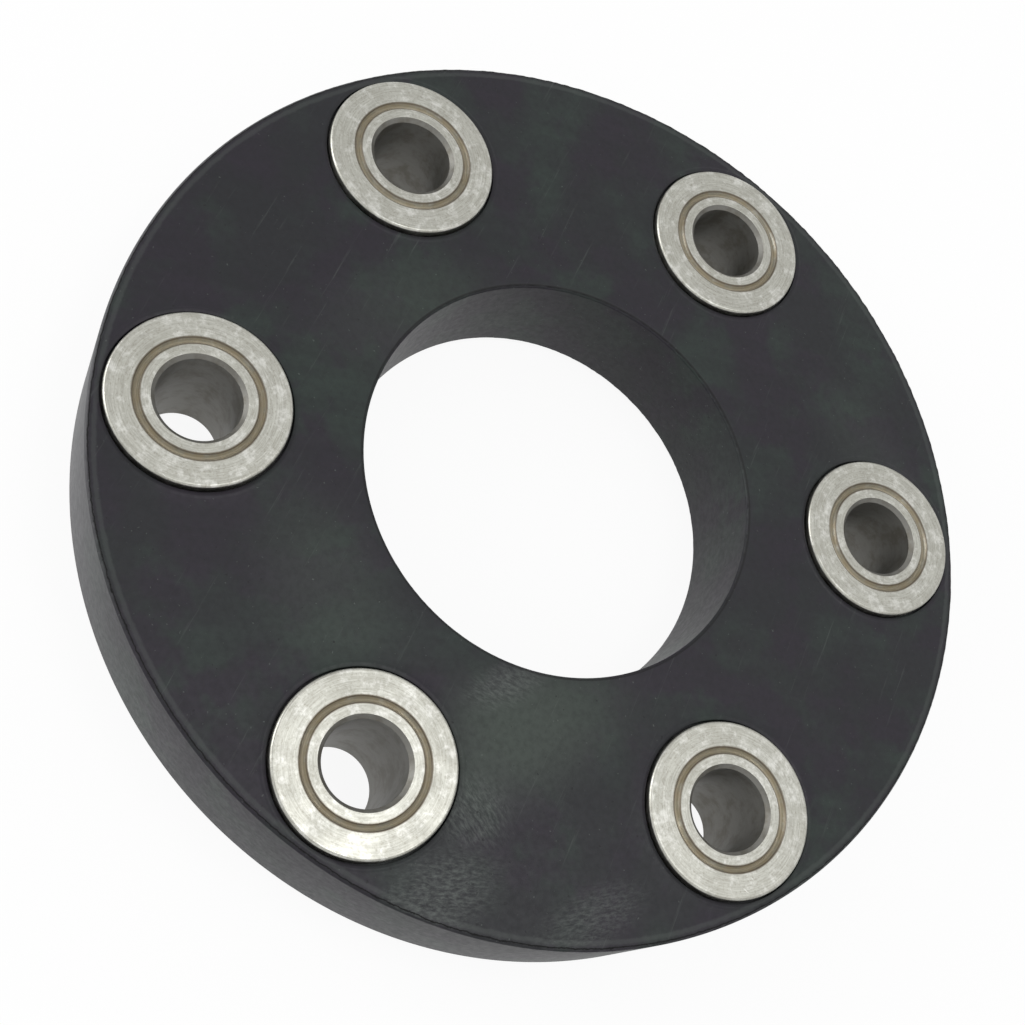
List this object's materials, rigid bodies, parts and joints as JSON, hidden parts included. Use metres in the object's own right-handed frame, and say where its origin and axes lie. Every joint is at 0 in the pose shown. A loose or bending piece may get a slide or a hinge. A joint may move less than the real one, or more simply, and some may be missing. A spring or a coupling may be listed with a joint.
{
  "type": "disc coupling",
  "caption": "Thick rubber ring with steel bushes moulded in on one circle, each a sleeve with a washer at either end, which joins two shaft flanges and lets them flex.",
  "frame": {"origin": "on the disc's axis, in the plane of the lower washers' faces, which the part rests on", "axes": "+Z is the disc's axis, across its thickness, and +X runs through the middle of bush 1"},
  "size_m": [0.16, 0.16, 0.023],
  "materials": {
    "rubber": "satin, moulded, faintly mottled and scuffed",
    "sleeve_steel": "turned, satin, with fine concentric marks on the ends",
    "washer_steel": "turned, satin, with fine concentric marks"
  },
  "bodies": {
    "root": {"rubber_disc": "rubber", "sleeve_1": "sleeve_steel", "sleeve_2": "sleeve_steel", "sleeve_3": "sleeve_steel", "sleeve_4": "sleeve_steel", "sleeve_5": "sleeve_steel", "sleeve_6": "sleeve_steel", "upper_washer_1": "washer_steel", "upper_washer_2": "washer_steel", "upper_washer_3": "washer_steel", "upper_washer_4": "washer_steel", "upper_washer_5": "washer_steel", "upper_washer_6": "washer_steel", "lower_washer_1": "washer_steel", "lower_washer_2": "washer_steel", "lower_washer_3": "washer_steel", "lower_washer_4": "washer_steel", "lower_washer_5": "washer_steel", "lower_washer_6": "washer_steel"}
  },
  "joints": []
}
